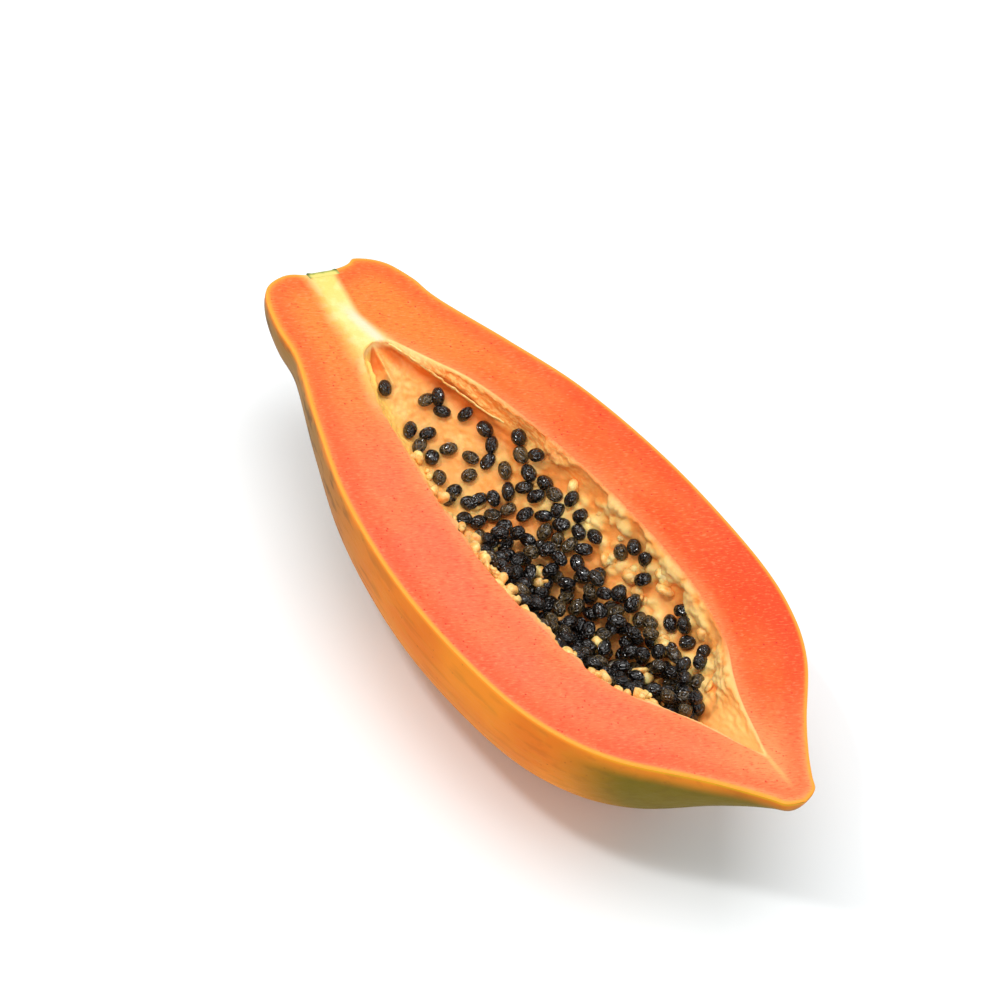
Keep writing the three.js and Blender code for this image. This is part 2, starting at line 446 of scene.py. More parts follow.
def buildRings():
    # the places of every ring that is extruded from the skin's edge to the floor of the hollow
    count = 2 * half["rows"]
    edges = [edgePoint(i) for i in range(count)]
    rims = [rimPoint(i) for i in range(count)]
    ringCount = len(half["edgeRound"]) + half["cutRings"] + half["rimRings"] + half["wallRings"]
    rings = [[] for _ in range(ringCount)]
    for i, (edge, rim) in enumerate(zip(edges, rims)):
        spot, side = hollowSpot(i)
        across = acrossLoop(edges, i, rim)
        places = [edge + across * inward + Vector((0, 0, drop)) for inward, drop in half["edgeRound"]]
        # the rim's own rounding, smaller where the hollow narrows to a point
        away = acrossLoop(rims, i, edge)
        roundSize = min(half["rimRound"], spot.x * 0.4)
        rimStart = rim + away * roundSize
        edgeEnd = places[-1]
        for step in range(1, half["cutRings"] + 1):
            places.append(edgeEnd.lerp(rimStart, step / half["cutRings"]))
        for step in range(1, half["rimRings"] + 1):
            angle = math.pi / 2 * step / half["rimRings"]
            out, down = roundSize * (1 - math.sin(angle)), roundSize * (1 - math.cos(angle))
            places.append(rim + away * out - Vector((0, 0, down)))
        start = math.acos(min(roundSize / max(spot.x * fruit["hollowDepth"], 1e-6), 1))
        for step in range(1, half["wallRings"] + 1):
            turn = start * (1 - step / half["wallRings"])
            places.append(hollowPoint(spot.x, spot.y, side * turn))
        for ring, place in zip(rings, places):
            ring.append(place)
    return rings


def shapeSkin(mesh):
    # the round start takes the papaya's outline and gets the number of each corner on its edge
    loop = mesh.verts.layers.int.new("loopIndex")
    ring = mesh.verts.layers.int.new("ringIndex")
    rows = half["rows"]
    for corner in mesh.verts:
        share = math.acos(min(max(-corner.co.x, -1), 1)) / math.pi
        turn = math.atan2(corner.co.y, -corner.co.z)
        if abs(corner.co.z) < 1e-5:
            row = round(share * rows)
            corner[loop] = row if corner.co.y >= -1e-6 else 2 * rows - row
            corner[loop] %= 2 * rows
            turn = math.copysign(math.pi / 2, corner.co.y)
        spot = skinProfile.at(share)
        corner.co = skinPoint(spot.x, spot.y, turn)
        corner[ring] = -1


def wallOf(place):
    # distance from the scar and turn round the hollow's own line
    along = place.x - stemX
    return along, math.atan2(place.y - hollowCentre(along), (cutZ - place.z) / fruit["hollowDepth"])


markNames = ("fromSkin", "fromHollow", "wallTurn", "lump")

lining = {
    "ribs": [
        # distance from the scar and degrees at its two ends, height, half width in degrees
        ((0.0365, 25), (0.0490, 11), 0.0022, 13),
        ((0.0400, 86), (0.0820, 72), 0.0015, 7),
        ((0.0370, -40), (0.0620, -46), 0.0012, 9),
    ],
    "grooves": [
        ((0.0385, 60), (0.0820, 60), 0.0019, 14),
        ((0.0370, -2), (0.0500, -16), 0.0018, 22),
    ],
    "lumpZone": [(0.076, 0.1), (0.203, 0.213)],
    "lumpFloor": (0.35, 1.0),   # turn from the floor, where the lumps begin and are full
    "lumpSize": 0.0048,
    "lumpWarp": 0.0021,
    "warpSeed": 7,   # without it the warp's noise starts at another place in each run
    "lumpHeight": 0.0026,
    "lumpDome": 0.8,
    "lumpGaps": (-0.35, 0.05),
    "lumpScales": [(1, 0.75), (2.1, 0.25)],   # how much finer, and its share
    "lumpPatch": 0.011,
    "fineSize": 0.0016,
    "fineHeight": 0.0006,
    "softSize": 0.011,
    "softHeight": 0.0007,
}


def crease(along, turn, ends):
    # how near the place is to a rib or groove, 1 on its line
    (startAlong, startDegrees), (endAlong, endDegrees), height, width = ends
    share = (along - startAlong) / (endAlong - startAlong)
    line = startDegrees + (endDegrees - startDegrees) * min(max(share, 0), 1)
    fade = smooth(share, -0.25, 0.1) * (1 - smooth(share, 0.6, 1.15))
    return height * fade * hump(math.degrees(turn), line, width)


def wallLump(place, along, turn):
    # cottage-like lumps of the placenta, 0 between them and 1 on top
    (startLow, startHigh), (endLow, endHigh) = lining["lumpZone"]
    zone = smooth(along, startLow, startHigh) * (1 - smooth(along, endLow, endHigh))
    zone *= smooth(abs(turn), *lining["lumpFloor"])
    size = lining["lumpSize"]
    warped = place / size + noise.noise_vector(place / size) * lining["lumpWarp"] / size
    there = smooth(noise.noise(place / lining["lumpPatch"]), *lining["lumpGaps"])
    lumps = 0
    for finer, share in lining["lumpScales"]:
        lumps += share * max(1 - (noise.voronoi(warped * finer)[0][0] / lining["lumpDome"]) ** 2, 0)
    return zone * there * lumps


def wallHeight(place, along, turn, depth):
    # how far the wall stands into the hollow
    height = lining["softHeight"] * noise.noise(place / lining["softSize"])
    height += sum(crease(along, turn, rib) for rib in lining["ribs"])
    height -= sum(crease(along, turn, groove) for groove in lining["grooves"])
    height += lining["lumpHeight"] * wallLump(place, along, turn)
    height += lining["fineHeight"] * noise.noise(place / lining["fineSize"])
    return height * smooth(depth, -0.0006, 0.0012) * smooth(along, 0.035, 0.04)


def finishHalf(mesh, rings):
    # marks for the finish, and the waves and lumps of the cut face and the wall
    ring = mesh.verts.layers.int["ringIndex"]
    marks = {name: mesh.verts.layers.float.new(name) for name in markNames}
    firstRim = len(half["edgeRound"]) + half["cutRings"]
    trees = []
    for number in (0, firstRim + half["rimRings"] - 1):
        tree = kdtree.KDTree(len(rings[number]))
        for i, place in enumerate(rings[number]):
            tree.insert((place.x, place.y, 0), i)
        tree.balance()
        trees.append(tree)
    mesh.normal_update()
    moves = []
    for corner in mesh.verts:
        flat = Vector((corner.co.x, corner.co.y, 0))
        along, turn = wallOf(corner.co)
        if corner[ring] < 0:
            continue
        corner[marks["fromSkin"]] = trees[0].find(flat)[2]
        fromHollow = trees[1].find(flat)[2]
        corner[marks["wallTurn"]] = turn
        if corner[ring] < firstRim:
            corner[marks["fromHollow"]] = fromHollow
            wave = half["waveHeight"] * noise.noise(corner.co / half["waveSize"])
            moves.append((corner, Vector((0, 0, wave * smooth(corner[marks["fromSkin"]], 0, 0.006)))))
        else:
            depth = cutZ - corner.co.z
            corner[marks["fromHollow"]] = -depth
            corner[marks["lump"]] = wallLump(corner.co, along, turn)
            moves.append((corner, corner.normal * wallHeight(corner.co, along, turn, depth)))
    for corner, move in moves:
        corner.co += move


def makeHalf():
    piece = lyingSphere(half["columns"], half["rows"], 1)
    bpy.ops.mesh.bisect(plane_co=(0, 0, 0), plane_no=(0, 0, 1), clear_outer=True, threshold=1e-5)
    bpy.context.tool_settings.mesh_select_mode = (False, True, False)
    mesh = bmesh.from_edit_mesh(piece.data)
    shapeSkin(mesh)
    rings = buildRings()
    bpy.ops.mesh.select_all(action="DESELECT")
    for edge in mesh.edges:
        edge.select_set(edge.is_boundary)
    for number, places in enumerate(rings):
        if number > 0:
            bpy.ops.mesh.extrude_edges_move()
            mesh = bmesh.from_edit_mesh(piece.data)
        loop, ring = [mesh.verts.layers.int[name] for name in ("loopIndex", "ringIndex")]
        for corner in mesh.verts:
            if corner.select:
                corner.co = places[corner[loop]]
                corner[ring] = number
    bpy.ops.mesh.select_all(action="SELECT")
    bpy.ops.mesh.remove_doubles(threshold=1e-6)
    bpy.ops.mesh.normals_make_consistent(inside=False)
    mesh = bmesh.from_edit_mesh(piece.data)
    ring = mesh.verts.layers.int["ringIndex"]
    for face in mesh.faces:
        face.smooth = True
        face.material_index = 0 if min(corner[ring] for corner in face.verts) < 0 else 1
    finishHalf(mesh, rings)
    # the small flat spot that it rests on
    for corner in mesh.verts:
        if corner.co.z < half["restSoft"]:
            corner.co.z = max(half["restSoft"] * math.exp(corner.co.z / half["restSoft"] - 1), 0)
    bmesh.update_edit_mesh(piece.data)
    bpy.ops.object.mode_set(mode="OBJECT")
    return piece


skinLook = {
    "orange": paint(228, 132, 32),
    "deepOrange": paint(216, 112, 26),
    "mottled": paint(214, 132, 34),
    "underside": paint(228, 148, 34),
    "olive": paint(104, 94, 14),
    "stemBrown": paint(138, 106, 52),
    "streak": paint(92, 66, 34),
    "speck": paint(124, 70, 26),
    "rim": paint(252, 152, 44),
    "tipRim": paint(212, 176, 30),
    # where they fade in or out: distance from the scar, and below the cut
    "oliveAlong": (0.19, 0.216),
    "oliveDrop": (0.003, 0.011),
    "stemAlong": (0.045, 0.13),
    "stemDrop": (0.003, 0.0075),
    "undersideDrop": (0.012, 0.05),
    "rimDrop": (0.0004, 0.0019),
    "tipRimAlong": (0.19, 0.225),
    # sizes of the patterns
    "streakSize": 0.0035,
    "streakStretch": (6, 1, 1),
    "patchSize": 0.035,
    "mottleSize": 0.007,
    "speckSize": 0.0032,
    "speckPatchSize": 0.009,
    "poreSize": 0.0008,
    "streakDepth": 0.00025,
    "poreDepth": 0.00006,
}


def skinFinish():
    finish = Finish("papayaSkin")
    look = skinLook
    place = finish.place()
    x, _, z = finish.axes(place)
    along, drop = x - stemX, cutZ - z
    streaks = finish.grain(finish.stretched(place, look["streakStretch"]), look["streakSize"], 4)
    patches = finish.grain(place, look["patchSize"], 3)
    mottle = finish.grain(place, look["mottleSize"], 3)
    olive = along.rise(*look["oliveAlong"]) * (drop + patches * 0.006).rise(*look["oliveDrop"])
    stemBrown = along.fall(*look["stemAlong"]) * (drop + mottle * 0.006).rise(*look["stemDrop"])
    speckPatches = finish.grain(place, look["speckPatchSize"]).rise(0.5, 0.62)
    specks = finish.cells(place, look["speckSize"]).fall(0.03, 0.16) * speckPatches
    rim = finish.mix(along.rise(*look["tipRimAlong"]), look["rim"], look["tipRim"])
    colour = finish.layers(look["orange"], dict(look, rim=rim), {
        "deepOrange": patches.rise(0.35, 0.7),
        "mottled": mottle.rise(0.45, 0.7) * 0.35,
        "underside": drop.rise(*look["undersideDrop"]) * 0.55,
        "olive": olive * 0.95,
        "stemBrown": stemBrown * 0.9,
        "streak": streaks.rise(0.5, 0.66) * (0.14 + stemBrown * 0.6),
        "speck": specks * 0.5,
        "rim": drop.fall(*look["rimDrop"]) * 0.65,
    })
    pores = finish.grain(place, look["poreSize"], 2)
    normal = finish.bump(streaks, look["streakDepth"], finish.bump(pores, look["poreDepth"]))
    return finish.shade(
        colour, 0.42 + streaks * 0.2, normal, Subsurface_Weight=0.08,
        Subsurface_Radius=(0.006, 0.003, 0.001), Subsurface_Scale=0.6, Specular_IOR_Level=0.3, IOR=1.2)


fleshLook = {
    "nearSide": paint(253, 110, 74),
    "farSide": paint(252, 88, 30),
    "cloud": paint(254, 128, 68),
    "mottled": paint(250, 84, 52),
    "redder": paint(250, 66, 26),
    "stemEnd": paint(253, 132, 50),
    "tipEnd": paint(255, 154, 94),
    "redEdge": paint(250, 76, 38),
    "byHollow": paint(255, 146, 88),
    "lightStroke": paint(255, 160, 108),
    "darkStroke": paint(230, 54, 34),
    "pore": paint(200, 34, 30),
    "underSkin": paint(253, 158, 54),
    "tipLine": paint(255, 190, 110),
    "tipRim": paint(255, 200, 128),
    # where they fade in or out: across the fruit, from the scar, the skin or the hollow
    "acrossBlend": (-0.028, 0.03),
    "redderAlong": [(0.13, 0.17), (0.2, 0.238)],
    "redderAcross": (0.026, 0.044),
    "stemEndAlong": (0.025, 0.1),
    "tipEndAlong": (0.208, 0.246),
    "redEdgeReach": [(0.001, 0.0035), (0.004, 0.012)],
    "byHollowReach": (0.0005, 0.007),
    "underSkinReach": (0.0004, 0.0019),
    "tipLineAlong": [(0.226, 0.232), (0.238, 0.25)],
    "tipLineStart": (0.23, 0.0052),
    "tipRimAlong": (0.188, 0.203),
    # sizes of the patterns
    "strokeSize": 0.0006,
    "strokeStretch": (3.4, 1, 1),
    "strokeTurn": math.radians(64),
    "cloudSize": 0.022,
    "mottleSize": 0.004,
    "poreSize": 0.0024,
    "porePatchSize": 0.006,
    "pitSize": 0.0007,
    "depth": 0.00016,
}

coreLook = {
    "start": paint(224, 208, 112),
    "end": paint(255, 214, 130),
    "nearSide": paint(255, 184, 84),
    "mottled": paint(255, 226, 158),
    "white": paint(255, 218, 188),
    "stroke": paint(255, 196, 100),
    "colourAlong": (0.003, 0.024),
    "lineStart": 0.003,        # the core's middle across the fruit at the scar
    "lineDrift": 0.0046,       # how far the middle runs to the near side by lineTo
    "lineTo": 0.026,
    "reach": 0.0056,
    "flare": 0.0035,
    "flareAlong": (0.022, 0.04),
    "nearEdge": (0.3, 1.45),
    "farEdge": (0.6, 1.2),
    "endAlong": (0.036, 0.05),
    "nearGlow": [(0.0002, 0.0052), (0.042, 0.07)],
    "farGlow": [(0.0006, 0.0017), (0.05, 0.1)],
    "whiteStart": (0.02, 0.0016),
    "whiteWidth": 0.0032,
    "whiteAlong": [(0.014, 0.024), (0.033, 0.04)],
}

liningLook = {
    "orange": paint(255, 166, 78),
    "cream": paint(255, 204, 118),
    "peach": paint(253, 172, 92),
    "palePeach": paint(255, 200, 124),
    "yellow": paint(255, 208, 104),
    # painted shade: darker orange in the creases between the lumps
    "paintedShadeBetweenLumps": paint(252, 142, 66),
    "lump": paint(255, 214, 138),
    # painted shadow: deep orange under the torn membrane strip
    "paintedStripShadow": paint(232, 104, 24),
    "band": paint(236, 124, 44),
    "fibre": paint(255, 190, 108),
    "nearFacet": paint(255, 200, 116),
    "farFacet": paint(250, 148, 78),
    "archRim": paint(255, 226, 160),
    # painted shade: deep orange in the two pits under the arch at the stem end
    "paintedPitShade": paint(222, 108, 34),
    "peachAlong": (0.06, 0.11),
    "yellowAlong": (0.045, 0.09),
    "yellowTurn": (-0.35, 0.1),
    "lumpyAlong": (0.085, 0.105),
    # where the painted shadow under the strip lies, by turn and by distance from the scar
    "paintedStripShadowTurn": [(0.9, 1.1), (1.2, 1.3)],
    "paintedStripShadowAlong": [(0.04, 0.05), (0.07, 0.11)],
    "bandTurn": (1.26, 1.34),
    "bandAlong": (0.09, 0.13),
    "facetAlong": (0.203, 0.214),
    "archRimAlong": (0.04, 0.056),
    # where the painted shade of the two pits lies
    "paintedPitShades": [   # turn of the middle, reach in turn, distance from the scar where it ends
        (0.1, (0.14, 0.34), (0.0385, 0.043)),
        (1.02, (0.16, 0.4), (0.041, 0.049)),
    ],
    "blotSize": 0.0075,
    "fibreSize": 0.0009,
    "fibreStretch": (5, 1, 1),
}


def between(value, ends):
    # 1 between the two ends, fading in over the first and out over the second
    return value.rise(*ends[0]) * value.fall(*ends[1])


def cutFaceColour(finish, place, marks, patterns):
    look = fleshLook
    x, y, _ = finish.axes(place)
    along = x - stemX
    fromSkin, fromHollow = marks["fromSkin"], marks["fromHollow"]
    strokes, clouds, mottle = patterns
    porePatches = finish.grain(place, look["porePatchSize"]).rise(0.42, 0.56)
    pores = finish.cells(place, look["poreSize"]).fall(0.06, 0.2) * porePatches
    startAlong, startAcross = look["tipLineStart"]
    fromTipLine = abs(y - startAcross + (along - startAlong) * 0.05)
    flesh = finish.layers(look["nearSide"], look, {
        "farSide": y.rise(*look["acrossBlend"]),
        "cloud": clouds.rise(0.35, 0.7) * 0.4,
        "mottled": mottle.rise(0.45, 0.7) * 0.22,
        "redder": between(along, look["redderAlong"]) * y.rise(*look["redderAcross"]) * 0.75,
        "stemEnd": along.fall(*look["stemEndAlong"]) * 0.8,
        "tipEnd": along.rise(*look["tipEndAlong"]) * 0.75,
        "redEdge": between(fromSkin, look["redEdgeReach"]) * 0.5,
        "byHollow": fromHollow.fall(*look["byHollowReach"]) * 0.45,
        "lightStroke": strokes.rise(0.52, 0.7) * 0.34,
        "darkStroke": strokes.fall(0.3, 0.48) * 0.55,
        "pore": pores * 0.85,
        "underSkin": fromSkin.fall(*look["underSkinReach"]),
        "tipLine": fromTipLine.fall(0.0002, 0.0014) * between(along, look["tipLineAlong"]) * 0.5,
        "tipRim": fromHollow.fall(0.0002, 0.0013) * along.rise(*look["tipRimAlong"]) * 0.75,
    })
    return addCore(finish, flesh, (along, y), fromHollow, patterns)


def addCore(finish, flesh, spot, fromHollow, patterns):
    # the pale core from the scar to the hollow, sharper on its far side
    look = coreLook
    along, y = spot
    strokes, clouds, mottle = patterns
    coreLine = look["lineStart"] - along.rise(0, look["lineTo"]) * look["lineDrift"]
    fromCore = y - coreLine + (clouds - 0.5) * 0.003
    toSide = fromCore / (look["reach"] + along.rise(*look["flareAlong"]) * look["flare"])
    core = (0 - toSide).fall(*look["nearEdge"]) * toSide.fall(*look["farEdge"])
    core = core * along.fall(*look["endAlong"])
    nearSide = y.fall(-0.004, 0.004)
    for glow, side, strength in (("nearGlow", nearSide, 0.85), ("farGlow", 1 - nearSide, 0.8)):
        reach, ending = look[glow]
        core = core.larger(fromHollow.fall(*reach) * side * along.fall(*ending) * strength)
    startAlong, startAcross = look["whiteStart"]
    fromWhite = abs(y - startAcross - (along - startAlong) * 0.1) / look["whiteWidth"]
    colour = finish.layers(look["start"], look, {
        "end": along.rise(*look["colourAlong"]),
        "nearSide": (0 - toSide).rise(0.1, 0.9) * 0.7,
        "mottled": mottle.rise(0.42, 0.62) * 0.5,
        "white": fromWhite.fall(0.1, 1.1) * between(along, look["whiteAlong"]) * 0.9,
        "stroke": strokes.rise(0.5, 0.7) * 0.2,
    })
    return finish.mix(core, flesh, colour)


def liningColour(finish, place, marks):
    look = liningLook
    x, y, _ = finish.axes(place)
    along = x - stemX
    fromHollow, turn, lump = marks["fromHollow"], marks["wallTurn"], marks["lump"]
    blots = finish.grain(place, look["blotSize"], 3)
    fibres = finish.grain(finish.stretched(place, look["fibreStretch"]), look["fibreSize"], 3, 0.6)
    archRim = fromHollow.fall(-0.0016, 0) * fromHollow.rise(-0.0042, -0.0016)
    # painted shade in the two pits under the arch
    paintedPitShades = []
    for middle, reach, ending in look["paintedPitShades"]:
        paintedPitShades.append(abs(turn - middle).fall(*reach) * along.fall(*ending))
    mixed = {
        "peach": finish.mix(blots.rise(0.4, 0.7), look["peach"], look["palePeach"]),
        "band": finish.mix(fibres.rise(0.4, 0.62), look["band"], look["fibre"]),
        "facet": finish.mix((y - 0.006).fall(-0.006, 0.004), look["nearFacet"], look["farFacet"]),
    }
    return finish.layers(look["orange"], dict(look, **mixed), {
        "cream": blots.rise(0.35, 0.68),
        "peach": along.fall(*look["peachAlong"]) * 0.8,
        "yellow": along.fall(*look["yellowAlong"]) * turn.fall(*look["yellowTurn"]) * 0.8,
        # painted shade in the creases between the lumps
        "paintedShadeBetweenLumps": lump.fall(0.1, 0.4) * along.rise(*look["lumpyAlong"]) * 0.45,
        "lump": lump.rise(0.25, 0.8) * 0.85,
        # painted shadow under the membrane strip
        "paintedStripShadow": between(turn, look["paintedStripShadowTurn"]) * between(along, look["paintedStripShadowAlong"]) * 0.8,
        "band": turn.rise(*look["bandTurn"]) * along.fall(*look["bandAlong"]) * 0.8,
        "facet": along.rise(*look["facetAlong"]) * 0.85,
        "archRim": archRim * along.fall(*look["archRimAlong"]) * 0.7,
        # painted shade in the pits under the arch
        "paintedPitShade": paintedPitShades[0].larger(paintedPitShades[1]) * fromHollow.fall(-0.0034, -0.001) * 0.75,
    })


def fleshFinish():
    finish = Finish("papayaFlesh")
    look = fleshLook
    place = finish.place()
    marks = {name: finish.mark(name) for name in markNames}
    strokePlace = finish.stretched(place, look["strokeStretch"], look["strokeTurn"])
    strokes = finish.grain(strokePlace, look["strokeSize"], 3, 0.6)
    clouds = finish.grain(place, look["cloudSize"], 2)
    mottle = finish.grain(place, look["mottleSize"], 3)
    flesh = cutFaceColour(finish, place, marks, (strokes, clouds, mottle))
    inHollow = marks["fromHollow"].fall(-0.0012, 0.0003)
    colour = finish.mix(inHollow, flesh, liningColour(finish, place, marks))
    normal = finish.bump(strokes * 0.6 + finish.grain(place, look["pitSize"], 2) * 0.4, look["depth"])
    return finish.shade(
        colour, 0.42 + strokes * 0.2, normal, Subsurface_Weight=0.3,
        Subsurface_Radius=(0.006, 0.002, 0.0008), Subsurface_Scale=0.7, Specular_IOR_Level=0.22)


noise.seed_set(lining["warpSeed"])
papaya = makeHalf()
papaya.data.materials.append(skinFinish())
papaya.data.materials.append(fleshFinish())
settle(papaya, "papayaHalf")
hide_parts("papaya_half")
print("half of the fruit made:", len(papaya.data.polygons), "faces")


# Seeds

seed = {
    "length": 0.0062,
    "width": 0.0049,
    "sides": 10,
    "rings": 8,
    "ridge": 0.9,
    "dent": 0.0003,
    "tiltDegrees": 14,
    "looseHeight": 0.0015,
    "looseSpots": [  # distance from the scar, degrees round from the floor of the hollow
        (46, -9), (56, 41), (58, 54), (62, 44), (68, 58), (60, -2), (64, 15), (66, -4), (71, 2), (72, 22),
        (76, 60), (81, 54), (79, 33), (84, 42), (87, 75), (91, 66), (96, 77), (90, 47), (97, 60), (103, 62),
        (114, 68), (120, 64), (142, 75), (139, 66), (148, 76), (152, 66), (170, 72), (175, 68), (170, 60),
        (179, 60), (187, 66), (190, 62), (78, -4), (104, 51),
        (83, 22), (84, 2), (86, -9), (90, 7), (91, 16), (96, 38), (94, -6), (97, 4), (98, 17),
        (100, 29), (102, -4),
        (82, -60), (107, -70), (131, -73), (150, -76), (171, -70), (187, -62),
    ],
    "bunchCentre": (0.156, 0.001),
    "bunchHalfLength": 0.052,
    "bunchHalfWidth": 0.0225,
    "looseClearance": 0.0069,
    "tries": 6000,
    "layers": [  # count, spacing, height of the middle, share of the bunch
        (160, 0.0056, 0.0028, 1),
        (26, 0.0075, 0.0052, 0.7),
    ],
    "randomSeed": 4127,
    "fillCount": 150,
    "fillHeights": (0.003, 0.0098),
    "fillSpacing": 0.0048,
    "fillReach": 1.02,
    "fillSeed": 11,
    "strayCount": 44,
    "strayAlong": (0.094, 0.131),
    "strayDegrees": (10, 64),
    "strayHeights": (0.0016, 0.0036),
    "straySpacing": 0.0052,
    "straySeed": 5,
    "growth": (0.9, 1.08),
}


def drawing(state):
    # the same draws each time, as for the solid seeds
    while True:
        state = state * 16807 % 2147483647
        yield state / 2147483647


def modelSeed():
    model = lyingSphere(seed["sides"], seed["rings"], 0.5)
    bpy.ops.transform.resize(value=(seed["length"], seed["width"], seed["width"]))
    step = 2 * math.pi / seed["sides"]
    pick(model, lambda corner: round(math.atan2(corner.co.y, -corner.co.z) / step) % 2 == 1)
    bpy.ops.transform.resize(value=(1, seed["ridge"], seed["ridge"]), center_override=(0, 0, 0))
    pick(model, lambda corner: corner.co.x > seed["length"] * 0.49)
    bpy.ops.transform.translate(value=(-seed["dent"], 0, 0))
    bpy.ops.object.mode_set(mode="OBJECT")
    bpy.ops.object.shade_smooth()
    return model


def wallRise(along, turn):
    # how far lumps and ribs lift a seed that stands on them
    return max(wallHeight(wallPoint(along, turn), along, turn, 1), 0)


def seedPlace(along, turn, height, draws):
    spin = next(draws) * math.pi
    tilt = math.radians((next(draws) * 2 - 1) * seed["tiltDegrees"])
    turned = Matrix.Rotation(spin, 4, "Z") @ Matrix.Rotation(tilt, 4, "Y")
    return wallFrame(along, turn) @ Matrix.Translation((0, 0, height)) @ turned


def bunchSpot(reach, draws):
    distance = math.sqrt(next(draws)) * reach
    bearing = next(draws) * 2 * math.pi
    centreAlong, centreAcross = seed["bunchCentre"]
    along = centreAlong + seed["bunchHalfLength"] * distance * math.cos(bearing)
    across = centreAcross + seed["bunchHalfWidth"] * distance * math.sin(bearing) - hollowCentre(along)
    turn = math.asin(min(max(across / hollowProfile.radiusAt(along), -1), 1))
    return along, turn


def spotClear(others, spot, gap):
    return all((other - spot).length > gap for other in others)


def fillIn(places, middles, count, spacing, nextPlace):
    # adds drawn places where no other seed's middle is near, and draws on when there are enough
    added = 0
    for _ in range(seed["tries"]):
        place = nextPlace()
        if added < count and spotClear(middles, place.translation, spacing):
            places.append(place)
            middles.append(place.translation)
            added += 1


def placeSeeds():
    # the seeds of the solid model at their spots on the wall, then more of them in the gaps
    draws = drawing(seed["randomSeed"])
    loose = []
    for along, degrees in seed["looseSpots"]:
        along, turn = along / 1000, math.radians(degrees)
        loose.append(seedPlace(along, turn, seed["looseHeight"] + wallRise(along, turn), draws))
    looseMiddles = [place.translation for place in loose]
    bunch = []
    for count, spacing, height, reach in seed["layers"]:
        spots = []
        for _ in range(seed["tries"]):
            if len(spots) == count:
                break
            along, turn = bunchSpot(reach, draws)
            spot = wallPoint(along, turn)
            if spotClear(spots, spot, spacing) and spotClear(looseMiddles, spot, seed["looseClearance"]):
                bunch.append(seedPlace(along, turn, height, draws))
                spots.append(spot)
    draws = drawing(seed["fillSeed"])
    low, high = seed["fillHeights"]

    def nextFill():
        along, turn = bunchSpot(seed["fillReach"], draws)
        return seedPlace(along, turn, low + (high - low) * next(draws), draws)

    chance = random.Random(seed["straySeed"])

    def nextStray():
        along, degrees = chance.uniform(*seed["strayAlong"]), chance.uniform(*seed["strayDegrees"])
        return seedPlace(along, math.radians(degrees), chance.uniform(*seed["strayHeights"]), draws)

    middles = [place.translation for place in bunch] + looseMiddles
    fillIn(bunch, middles, seed["fillCount"], seed["fillSpacing"], nextFill)
    fillIn(loose, middles, seed["strayCount"], seed["straySpacing"], nextStray)
    return loose, bunch


def strew(model, places, name, growth):
    # copies of the model, each with its own mesh and tone, joined into one piece
    copies = []
    chance = random.Random(name)
    for place in places:
        copy = model.copy()
        copy.data = model.data.copy()
        stretch = [chance.uniform(*growth) for _ in range(3)]
        copy.data.transform(place @ Matrix.Diagonal((*stretch, 1)))
        tone = copy.data.attributes.new("tone", "FLOAT", "POINT")
        tone.data.foreach_set("value", [chance.random()] * len(copy.data.vertices))
        bpy.context.scene.collection.objects.link(copy)
        copies.append(copy)
    bpy.ops.object.select_all(action="DESELECT")
    for copy in copies:
        copy.select_set(True)
    bpy.context.view_layer.objects.active = copies[0]
    bpy.ops.object.join()
    return bpy.context.object


seedLook = {
    "black": paint(4, 3, 4),
    "blackCrease": paint(16, 13, 13),
    "brown": paint(34, 25, 14),
    "brownCrease": paint(96, 78, 46),
    "plates": (0.11, 0.2, 1),      # share of the way round and along that one wrinkle takes
    "crease": 0.3,
    "depth": 0.00035,
    "brownTones": (0.64, 0.86),
}


def seedFinish():
    finish = Finish("wetSeed")
    look = seedLook
    tone = finish.mark("tone")
    around = finish.node("ShaderNodeTexCoord", output="UV")
    shifted = finish.node("ShaderNodeVectorMath", {"operation": "ADD"}, {0: around, 1: tone * 7})
    plates = {"Vector": finish.stretched(shifted, look["plates"]), "Scale": 1}
    fromCrease = finish.node("ShaderNodeTexVoronoi", {"feature": "DISTANCE_TO_EDGE"}, plates)
    wrinkles = fromCrease.rise(0, look["crease"])
    black = finish.mix(wrinkles, look["blackCrease"], look["black"])
    brown = finish.mix(wrinkles, look["brownCrease"], look["brown"])
    colour = finish.mix(tone.rise(*look["brownTones"]) * 0.85, black, brown)
    normal = finish.bump(wrinkles, look["depth"])
    return finish.shade(colour, 0.2 - wrinkles * 0.12, normal, Specular_IOR_Level=0.8)


seedModel = modelSeed()
seedModel.data.materials.append(seedFinish())
loosePlaces, bunchPlaces = placeSeeds()
looseSeeds = strew(seedModel, loosePlaces, "looseSeeds", seed["growth"])
settle(looseSeeds, "looseSeeds")
seedBunch = strew(seedModel, bunchPlaces, "seedBunch", seed["growth"])
settle(seedBunch, "seedBunch")
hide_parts("seed_bunch")
bpy.data.objects.remove(seedModel)
print("seeds strewn:", len(loosePlaces), "loose,", len(bunchPlaces), "in the bunch")


# Crumbs of the placenta between the seeds, along the near rim and on the far wall

